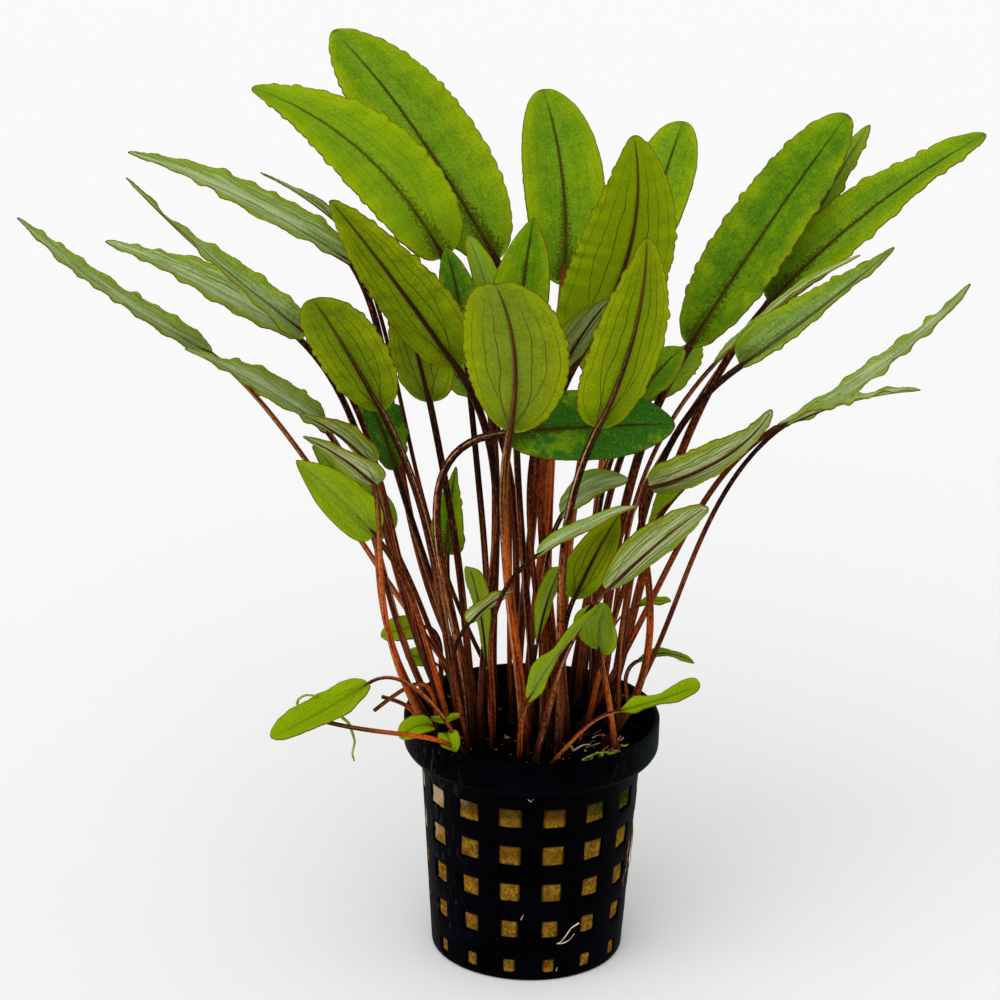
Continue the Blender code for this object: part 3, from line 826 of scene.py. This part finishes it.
def grow_blade(name, course, shape, mood, seed):
    """The leaf's thin sheet: folded along the midrib, with ruffled margins that are notched
    wherever the ruffle changes side."""
    chance = Random(seed)
    points = course["blade"]
    length = sum(np.linalg.norm(np.subtract(b, a)) for a, b in zip(points, points[1:]))
    widest = half_width(np.linspace(0, 1, 60), course).max()
    waves = max(3, length / shape["pitch"])
    rows = int(min(150, max(30, waves * 8)))
    made, across, along = fresh_grid(name, 20 if widest > 3 else 14, rows)
    # Columns stand closer towards the margins, and rows towards both ends
    across = np.sign(across) * np.abs(across) ** 0.85
    along = along + 0.35 * (0.5 - 0.5 * np.cos(np.pi * along) - along)
    edge = np.abs(across)
    left = across < 0

    beat = [chance.uniform(0, ANY_TURN) for _ in range(12)]

    def halves(a, b):
        """One random phase for the left half and another for the right."""
        return np.where(left, beat[a], beat[b])

    # How far along its waves the margin is, and how strong they are there
    drift = 0.5 * np.sin(5.1 * along + halves(0, 8)) + 0.28 * np.sin(13 * along + halves(1, 9))
    pace = np.where(left, 1.0, 1.07)
    phase = np.pi * waves * along * pace + halves(2, 3) + drift * np.pi
    swing = np.sin(2 * np.pi * along * waves / 4.7 + halves(4, 5))
    gain = 0.62 + 0.38 * swing * np.sin(7.3 * along + beat[10])
    calm = np.sin(np.pi * np.clip(along, 0, 1)) ** 0.4

    # Half width: the solid's outline with a round tip, then what is particular to this leaf
    half = half_width(along, course) * (1 + shape.get("lean", 0) * np.where(left, 1, -1))
    blunt = shape.get("blunt", 0.008 * widest**2)
    near_tip = np.clip((along - 0.6) / 0.25, 0, 1)
    near_tip = near_tip**2 * (3 - 2 * near_tip)
    round_tip = np.sqrt(2 * blunt * np.clip((1 - along) * length, 0, None)) * near_tip
    half = (half**6 + round_tip**6) ** (1 / 6)
    room = np.minimum(1, half / 1.6)
    half = half * (1 - shape.get("pinch", 0) * bell(along, 0.5, 0.16))
    half = half + shape.get("lobe", 0) * bell(along, 0.2, 0.12)
    reach = half
    notch = np.abs(np.sin(phase)) ** 0.7 - 0.6
    half = half + shape["notch"] * room * gain * calm * notch
    half = np.maximum(half, np.maximum(course["thick"] * 0.6 * (1 - along), 0.1))

    # Height above the flat blade
    ruffle = shape["ruffle"] * room * gain * np.sin(phase) * edge**2.6 * calm
    fine = 0.05 * np.sin(4.3 * phase + beat[6]) * edge**5
    swell = np.sin(2 * np.pi * 1.4 * along + halves(6, 7))
    sway = shape["sway"] * room * edge**1.5 * swell * calm
    fold = half * math.tan(math.radians(shape["fold"])) * edge**1.25
    ripples = np.sin(edge * 9.4 + 1.1 * np.sin(phase * 0.7))
    quilt = 0.09 * ripples * np.minimum(1, half / 4) * calm
    groove = -0.2 * bell(edge * half, 0, 0.5) * (1 - along)
    lift = fold + ruffle + fine + sway + quilt + groove
    centre, side, up = blade_frame(course, along, shape)
    set_places(made, centre + side * (across * half)[:, None] + up * lift[:, None])

    set_uv(made, "grain", across * half + 20, along * length)
    set_numbers(made, "half_mm", half)
    set_numbers(made, "reach_mm", reach)
    set_numbers(made, "seed", chance.random())
    moods = made.data.attributes.new("mood", "FLOAT_VECTOR", "POINT")
    moods.data.foreach_set("vector", np.tile(mood, len(made.data.vertices)))
    coat(made, UPPER, UNDER)
    modify(made, "SOLIDIFY", thickness=BLADE_THICKNESS * MM, offset=0, material_offset=1)
    return made


def grow_tube(name, path, radii, frames, blade_v, seed, tan, finish, sides=12):
    """A closed tube along a path, from a grid rolled up. Its ends are filled or run to a point."""
    rows = len(path) - 1
    made, across, along = fresh_grid(name, sides, rows)
    step = np.rint(along * rows).astype(int)
    turn = np.pi * (across + 1)
    side, up = frames
    out = side[step] * np.cos(turn)[:, None] + up[step] * np.sin(turn)[:, None]
    uneven = 1 + 0.06 * np.cos(3 * turn + seed)
    set_places(made, path[step] + (radii[step] * uneven)[:, None] * out)
    run = np.concatenate([[0], np.cumsum(np.linalg.norm(np.diff(path, axis=0), axis=1))])
    set_uv(made, "grain", turn * radii.max(), run[step])
    set_uv(made, "blade", turn / math.tau, blade_v[step])
    set_numbers(made, "seed", Random(seed).random())
    set_numbers(made, "tan", tan)
    coat(made, finish)
    merge(made, 0.0005, fill=True)
    return made


def carried_frame(path, side):
    """Side and up directions along a path, carried back from its far end without twist."""
    heading = unit(np.gradient(path, axis=0))
    sides = np.zeros_like(path)
    for index in range(len(path) - 1, -1, -1):
        side = unit(side - heading[index] * (heading[index] @ side))
        sides[index] = side
    return sides, np.cross(sides, heading)


def grow_stalk(name, course, shape, tan, seed):
    """Stalk from inside the wool up to the neck, and on as the midrib's keel to the tip. A bare
    stalk's course has no blade."""
    chance = Random(seed + 7)
    share = np.linspace(0, 1, 30)
    path, _ = curve(course["stalk"], share)
    wander = 0.09 * np.sin(share * np.pi) * np.sin(share * 9 + chance.uniform(0, 6))
    path[:, 0] += wander
    path[:, 1] += wander * chance.uniform(-1, 1)
    thick = course["thick"] * shape.get("girth", 1.0)
    radii = thick * (1.02 - 0.17 * share + 0.1 * np.exp(-share / 0.05))
    path = np.vstack([path[0] - np.array([0, 0, STALK_DEPTH]), path])
    radii = np.concatenate([[radii[0] * 1.05], radii])
    blade_v = np.concatenate([[-1.0], share - 1])
    if "blade" in course:
        along = np.linspace(0, 0.985, 38)[1:]
        centre, _, up = blade_frame(course, along, shape)
        taper = (1 - along) ** 0.6 * (0.72 + 0.28 * np.exp(-along / 0.05))
        keel = np.minimum(thick * 0.85, course["thick"] * 0.95) * taper
        keel = np.minimum(keel, half_width(along, course) * 0.8 + 0.08)
        keel = np.maximum(keel, 0.1)
        keel[-1] = 0
        sink = (np.clip(keel - 0.02, 0, None) * 0.9 + 0.1) * np.clip(along / 0.1, 0, 1)
        path = np.vstack([path, centre - up * sink[:, None]])
        radii = np.concatenate([radii, keel])
        blade_v = np.concatenate([blade_v, along])
    frames = carried_frame(path, course["side"])
    return grow_tube(name, path, radii, frames, blade_v, seed, tan, STALK)


def grow_leaf(name, course, shape, mood, seed, replaced=None):
    *colouring, tan = mood
    blade = grow_blade(name, course, shape, colouring, seed)
    stalk = grow_stalk(name + "_stalk", course, shape, tan, seed)
    dress(join([blade, stalk]), replaced)


def grow_leaves():
    for seed, node in enumerate(sorted(n for n in frame["nodes"] if n.startswith("leaf_"))):
        kind = slot_of[node]
        own = node.removeprefix("leaf_")
        shape = {**BLADES[kind], **OWN_SHAPE.get(own, {})}
        if own.startswith("right"):
            shape["girth"] *= RIGHT_GIRTH
        mood = list(OWN_MOOD.get(own, MOODS[kind]))
        mood[3] = max(0, mood[3] + Random(seed * 3 + 1).uniform(-0.2, 0.2))
        grow_leaf(own + "_leaf", course_of(node), shape, mood, seed, node)
    kind = "leaf_young"
    for seed, (name, sprig) in enumerate(SPRIGS.items(), 100):
        grow_leaf(name, course_between(*sprig), BLADES[kind], SPRIG_MOOD, seed)


def grow_cut_stalks():
    for index in (1, 2, 3):
        node = f"cut_stalk_{index}"
        rings = rings_of(node)
        centres = centres_of(rings)
        stalk = (centres[0], *stalk_handles(centres), centres[-1])
        course = dict(stalk=stalk, side=np.array([0, 1.0, 0]), thick=thickness_of(rings))
        made = grow_stalk(f"bare_stalk_{index}", course, {}, 1.0, 200 + index)
        dress(made, node)


def wall_radius(z):
    return BASE_RADIUS + (WALL_RADIUS_TOP - BASE_RADIUS) * z / SHOULDER_Z


def column_angle(column):
    """Middle of a column of windows. Angle 0 faces the viewer and grows towards +X."""
    return WINDOW_TURN + math.tau / WINDOW_COLUMNS * (column + 0.5)


def window_places():
    """Angle, height, width and height of opening of every window."""
    for row, (height, width) in enumerate(zip(WINDOW_HEIGHTS, WINDOW_WIDTHS)):
        for column in range(WINDOW_COLUMNS):
            yield column_angle(column), TOP_ROW_Z - ROW_PITCH * row, width, height


def pot_shell():
    """The pot's wall turned from its outline, rounded at the base, shoulder and lip."""
    foot = BASE_RADIUS - FOOT_ROUNDING
    profile = [(0, 0.0), (foot, 0.0)]
    for a in (0.4, 0.8, 1.2, 1.5):
        profile.append((foot + 0.95 * math.sin(a), FOOT_ROUNDING * (1 - math.cos(a))))
    profile += [(wall_radius(z), z) for z in (6, 15, 25, 35, SHOULDER_Z - 0.6)]
    profile.append((WALL_RADIUS_TOP + 0.25, SHOULDER_Z - 0.1))
    profile += [(LIP_RADIUS - 1.5, SHOULDER_Z + 0.75), (LIP_RADIUS - 0.6, SHOULDER_Z + 1.25)]
    profile += [(LIP_RADIUS - 0.15, BAND_FOOT_Z), (LIP_RADIUS - 0.05, BAND_FOOT_Z + 0.6)]
    for inset, drop in ((0, 0.4), (0.12, 0.1), (0.4, 0), (0.8, 0.05), (1.05, 0.35)):
        profile.append((LIP_RADIUS - inset, POT_HEIGHT - drop))
    inside = LIP_RADIUS - POT_WALL
    profile += [(inside, BAND_FOOT_Z), (inside - 0.7, BAND_FOOT_Z - 0.8)]
    profile.append((WALL_RADIUS_TOP - POT_WALL, SHOULDER_Z - 0.4))
    profile += [(wall_radius(z) - POT_WALL, z) for z in (35, 25, 15, 6, 1.6)]
    profile += [(BASE_RADIUS - POT_WALL - 0.6, POT_WALL), (0, POT_WALL)]
    made = fresh(bpy.ops.mesh.primitive_circle_add, vertices=len(profile), radius=1)
    made.name = "net_pot_shell"
    for vert, (radius, z) in zip(made.data.vertices, profile):
        vert.co = (radius * MM, 0, z * MM)
    bpy.ops.object.mode_set(mode="EDIT")
    bpy.ops.mesh.select_all(action="SELECT")
    bpy.ops.mesh.spin(steps=POT_STEPS, angle=math.tau, center=(0, 0, 0), axis=(0, 0, 1))
    bpy.ops.object.mode_set(mode="OBJECT")
    merge(made, 0.01)
    return made


def cutter(width, height, depth, place, turn):
    """One opening's cutter: a block with rounded edges, turned about the pot's axis."""
    made = fresh(bpy.ops.mesh.primitive_cube_add, size=1)
    made.data.transform(Matrix.Diagonal((width * MM, depth * MM, height * MM, 1)))
    modify(made, "BEVEL", width=CORNER_ROUNDING * MM, segments=3)
    made.data.transform(Matrix.Rotation(turn, 4, "Z") @ Matrix.Translation(Vector(place) * MM))
    return made


def grow_pot():
    shell = pot_shell()
    cutters = []
    for angle, z, width, height in window_places():
        cutters.append(cutter(width, height, 5, (0, 0.4 - wall_radius(z), z), angle))
    middle = sum(SLOT_RADII) / 2
    length = SLOT_RADII[1] - SLOT_RADII[0]
    for column in range(WINDOW_COLUMNS):
        cutters.append(cutter(SLOT_WIDTH, 4, length, (0, -middle, 0.5), column_angle(column)))
    tool = join(cutters)
    modify(shell, "BOOLEAN", object=tool, solver="EXACT")
    bpy.data.objects.remove(tool, do_unlink=True)
    sharp = dict(limit_method="ANGLE", angle_limit=math.radians(50))
    modify(shell, "BEVEL", width=EDGE_ROUNDING * MM, segments=2, **sharp)
    coat(shell, POT)
    select(shell)
    dress(shell, "net_pot")
    bpy.ops.object.shade_smooth_by_angle(angle=math.radians(40))


def window_share(angle, z):
    """1 behind a window's opening and 0 behind the pot's wall."""
    share = np.zeros_like(z)
    for middle, height_z, width, height in window_places():
        swing = np.abs((angle - middle + np.pi) % (2 * np.pi) - np.pi) * wall_radius(height_z)
        beside = np.clip((width / 2 - swing) / 0.4, 0, 1)
        above = np.clip((height / 2 - np.abs(z - height_z)) / 0.4, 0, 1)
        share = np.maximum(share, beside * above)
    return share


def ripple(places, scale, seed):
    """Smooth noise from -1 to 1 at each place, with its waves about 1 / scale millimetres long."""
    return np.array([noise.noise(Vector(p) * scale + Vector((seed, 0, 0))) for p in places])


def around_pot(radius, angle, z):
    return np.stack([radius * np.sin(angle), -radius * np.cos(angle), z], 1)


def grow_wool():
    """The plug fills the pot, bulges a little through its windows and has a lumpy top."""
    made, across, along = fresh_grid("rock_wool_mat", WOOL_COLUMNS, WOOL_ROWS)
    angle = np.pi * (across + 1)
    climb = np.clip((along - FLOOR_SHARE) / WALL_SHARE, 0, 1)
    inward = (along - FLOOR_SHARE - WALL_SHARE) / (1 - FLOOR_SHARE - WALL_SHARE)
    inward = np.clip(inward, 0, 1)
    z = WOOL_FLOOR_Z + (WOOL_TOP_Z - WOOL_FLOOR_Z) * climb
    shoulder = WALL_RADIUS_TOP - POT_WALL
    radius = np.where(z < SHOULDER_Z, wall_radius(z) - POT_WALL, shoulder) - WOOL_GAP
    widen = np.clip((z - SHOULDER_Z) / 2.5, 0, 1)
    radius = radius + (WOOL_RIM_RADIUS - shoulder) * widen**1.5
    radius = np.where(along < FLOOR_SHARE, radius * (along / FLOOR_SHARE), radius)
    radius = radius * (1 - inward)

    bulge = window_share(angle, z) * ((along > FLOOR_SHARE) & (inward == 0))
    flat = around_pot(radius, angle, z)
    rough = ripple(flat, 0.45, 3.0) * 0.6 + ripple(flat, 1.3, 9.0) * 0.4
    radius = radius + bulge * (WOOL_BULGE + 0.4 * rough)
    radius = radius - (1 - bulge) * 0.15 * np.abs(rough) * (inward == 0)
    crown = np.minimum(1, inward * 9)
    lumps = ripple(flat, 0.16, 5.0) * 0.9 + ripple(flat, 0.5, 7.0) * 0.55
    lumps = lumps + ripple(flat, 1.4, 2.0) * 0.25
    radius = np.where(along <= 0, 0, radius)
    set_places(made, around_pot(radius, angle, z + crown * lumps))
    merge(made, 0.002)
    coat(made, WOOL)
    dress(made, "rock_wool_plug")


def strand(name, points, radius, finish, taper=0.4):
    """A thin root or thread through some points."""
    points = np.array(points, float)
    knots = range(len(points))
    t = np.linspace(0, len(points) - 1, 6 * (len(points) - 1) + 1)
    path = np.stack([np.interp(t, knots, points[:, axis]) for axis in range(3)], 1)
    for _ in range(2):
        path[1:-1] = (path[:-2] + 2 * path[1:-1] + path[2:]) / 4
    radii = radius * (1 - (1 - taper) * np.linspace(0, 1, len(path)))
    frames = carried_frame(path, np.array([0.3, 0.8, 0.5]))
    return grow_tube(name, path, radii, frames, np.zeros(len(path)), 5, 0, finish, sides=6)


def on_pot(angle, z, out):
    """A place on the outside of the pot's wall. The angle is in degrees from the viewer's side."""
    turn = math.radians(angle)
    radius = wall_radius(z) + out
    return radius * math.sin(turn), -radius * math.cos(turn), z


def gather(name, pieces):
    """Joins strands or bits into one piece of this name."""
    dress(join(pieces)).name = name


def grow_roots():
    """The pale forked root and white fibres on the pot's front, the tendril at the left, and brown
    roots that have come out of the windows at the right and the back."""
    for name, threads, out in (("pale_root", PALE_ROOT, 0.25), ("white_marks", WHITE_MARKS, 0.06)):
        pieces = []
        for radius, places in threads:
            pieces.append(strand(name, [on_pot(*p, out) for p in places], radius, ROOT))
        gather(name, pieces)
    hanging = [(x, TENDRIL_Y, z) for x, z in TENDRIL]
    tendril = strand("tendril_a", hanging, 0.36, GREEN_BITS, taper=0.5)
    loop = strand("tendril_b", [(x, LOOP_Y, z) for x, z in LOOP], 0.3, GREEN_BITS, taper=0.8)
    gather("tendril", [tendril, loop])
    chance = Random(41)
    draw = chance.uniform
    roots = []
    for _ in range(16):
        angle = chance.choice((78, 92, 104, 150, 175, 205, 235)) + draw(-6, 6)
        z = draw(6, 40)
        points = [on_pot(angle, z, -0.3)]
        for _ in range(chance.randint(3, 5)):
            angle += draw(-5, 5)
            z -= draw(1.2, 3.4)
            points.append(on_pot(angle, max(1, z), draw(0.1, 0.45)))
        roots.append(strand("root", points, draw(0.09, 0.2), BROWN_ROOT))
    gather("brown_roots", roots)


def grow_twigs():
    """Thin broken rootlets lying across each other on the soil at the right front, some of them
    pale, and a strip of green leaf in front of them."""
    draw = Random(77).uniform
    for name, count, finish in (("soil_twigs", 13, TWIG), ("pale_twigs", 7, PALE_TWIG)):
        twigs = []
        for _ in range(count):
            x = TWIG_PLACE[0] + draw(-4.5, 5)
            y = TWIG_PLACE[1] + draw(-4.5, 4.5)
            middle = np.array([x, y, WOOL_TOP_Z + draw(0.8, 1.6)])
            turn = draw(0.1, 1.5)
            size = draw(0.8, 2.3)
            heading = np.array([math.cos(turn), math.sin(turn), draw(-0.1, 0.5)])
            bow = [draw(-0.6, 0.6), draw(-0.6, 0.6), draw(0, 0.7)]
            points = (middle - size * heading, middle + bow, middle + size * heading)
            twigs.append(strand("twig", points, draw(0.11, 0.26), finish))
        gather(name, twigs)
    strip = [(*place, STRIP_Z) for place in STRIP]
    dress(strand("green_strip", strip, 0.26, GREEN_BITS, taper=0.45))


def crumb(size, place, draw):
    """A small lump: an icosphere squashed and dented."""
    made = fresh(bpy.ops.mesh.primitive_ico_sphere_add, subdivisions=2, radius=size * MM)
    offset = draw(0, 40)
    for vert in made.data.vertices:
        vert.co *= 1 + 0.45 * noise.noise(vert.co / (size * MM) * 0.9 + Vector((offset, 0, 0)))
    flat = Matrix.Diagonal((1, draw(0.5, 1), draw(0.35, 0.7), 1))
    turn = Matrix.Rotation(draw(0, ANY_TURN), 4, "Z")
    made.data.transform(Matrix.Translation(Vector(place) * MM) @ turn @ flat)
    return made


def shred(size, place, draw):
    """A curled scrap of leaf."""
    made, across, along = fresh_grid("scrap", 4, 8)
    curl = draw(0.3, 0.9)
    cup = draw(0.1, 0.6)
    turn = draw(0, ANY_TURN)
    x = (along - 0.5) * size
    y = across * size * 0.22 * np.sin(np.pi * np.clip(along, 0.03, 0.97)) ** 0.6
    z = size * (0.3 * curl * (x / size * 2) ** 2 + 0.25 * cup * across**2)
    cos, sin = math.cos(turn), math.sin(turn)
    set_places(made, np.stack([x * cos - y * sin, x * sin + y * cos, z], 1) + np.array(place))
    modify(made, "SOLIDIFY", thickness=SCRAP_THICKNESS * MM)
    return made


def scatter(name, finish, count, size, zone, maker, seed):
    """Bits strewn over the wool inside a zone: angle range in degrees and radius range."""
    draw = Random(seed).uniform
    pieces = []
    for _ in range(count):
        turn = math.radians(draw(*zone[:2]))
        radius = draw(*zone[2:])
        z = WOOL_TOP_Z + draw(0.2, 1.1)
        place = (radius * math.sin(turn), -radius * math.cos(turn), z)
        pieces.append(maker(draw(*size), place, draw))
        coat(pieces[-1], finish)
    gather(name, pieces)


def grow_litter():
    scatter("soil_crumbs", SOIL, 70, (0.5, 1.3), (0, 360, 3, 24), crumb, 11)
    scatter("pale_grit", GRIT, 34, (0.08, 0.16), (-60, 60, 6, 24.5), crumb, 12)
    scatter("dead_scraps", LITTER, 5, (1.6, 3.2), (26, 62, 15, 23), shred, 13)
    scatter("green_scraps", GREEN_BITS, 3, (1.4, 2.4), (28, 55, 19, 23.5), shred, 14)
    scatter("small_green_scraps", GREEN_BITS, 9, (0.9, 1.9), (15, 80, 6, 22), shred, 16)
    scatter("more_scraps", LITTER, 8, (1.4, 3.0), (100, 330, 8, 23), shred, 15)


def set_stage(scene):
    """A pale floor under an even pale sky, and one wide soft sun from the upper left front."""
    floor = fresh(bpy.ops.mesh.primitive_plane_add, size=12)
    floor.name = "floor"
    coat(floor, Board("pale floor").paint((0.88, 0.88, 0.88), 0.9, 0))
    world = bpy.data.worlds.new("surround")
    world.use_nodes = True
    sky = world.node_tree.nodes["Background"].inputs
    sky["Color"].default_value = (1, 1, 1, 1)
    sky["Strength"].default_value = SKY
    scene.world = world
    sun = bpy.data.lights.new("sun", "SUN")
    sun.energy = SUN
    sun.angle = math.radians(SUN_WIDTH)
    made = bpy.data.objects.new("sun", sun)
    scene.collection.objects.link(made)
    made.rotation_euler = Vector(SUN_DIRECTION).to_track_quat("-Z", "Y").to_euler()
    scene.view_settings.view_transform = "Standard"


def set_camera(scene):
    """The photograph's viewpoint."""
    data = bpy.data.cameras.new("camera")
    data.lens = FOCAL_PIXELS * SENSOR_WIDTH / PICTURE_PIXELS
    data.sensor_width = SENSOR_WIDTH
    data.clip_start = 0.05
    made = bpy.data.objects.new("camera", data)
    scene.collection.objects.link(made)
    turn = Matrix.Rotation(math.pi / 2 - CAMERA_TILT, 4, "X") @ Matrix.Rotation(CAMERA_ROLL, 4, "Z")
    back = Matrix.Translation((0, 0, CAMERA_DISTANCE))
    made.matrix_world = Matrix.Translation(CAMERA_AIM) @ turn @ back
    scene.camera = made


set_camera(bpy.context.scene)
set_stage(bpy.context.scene)
grow_pot()
grow_wool()
grow_leaves()
grow_cut_stalks()
grow_roots()
grow_twigs()
grow_litter()
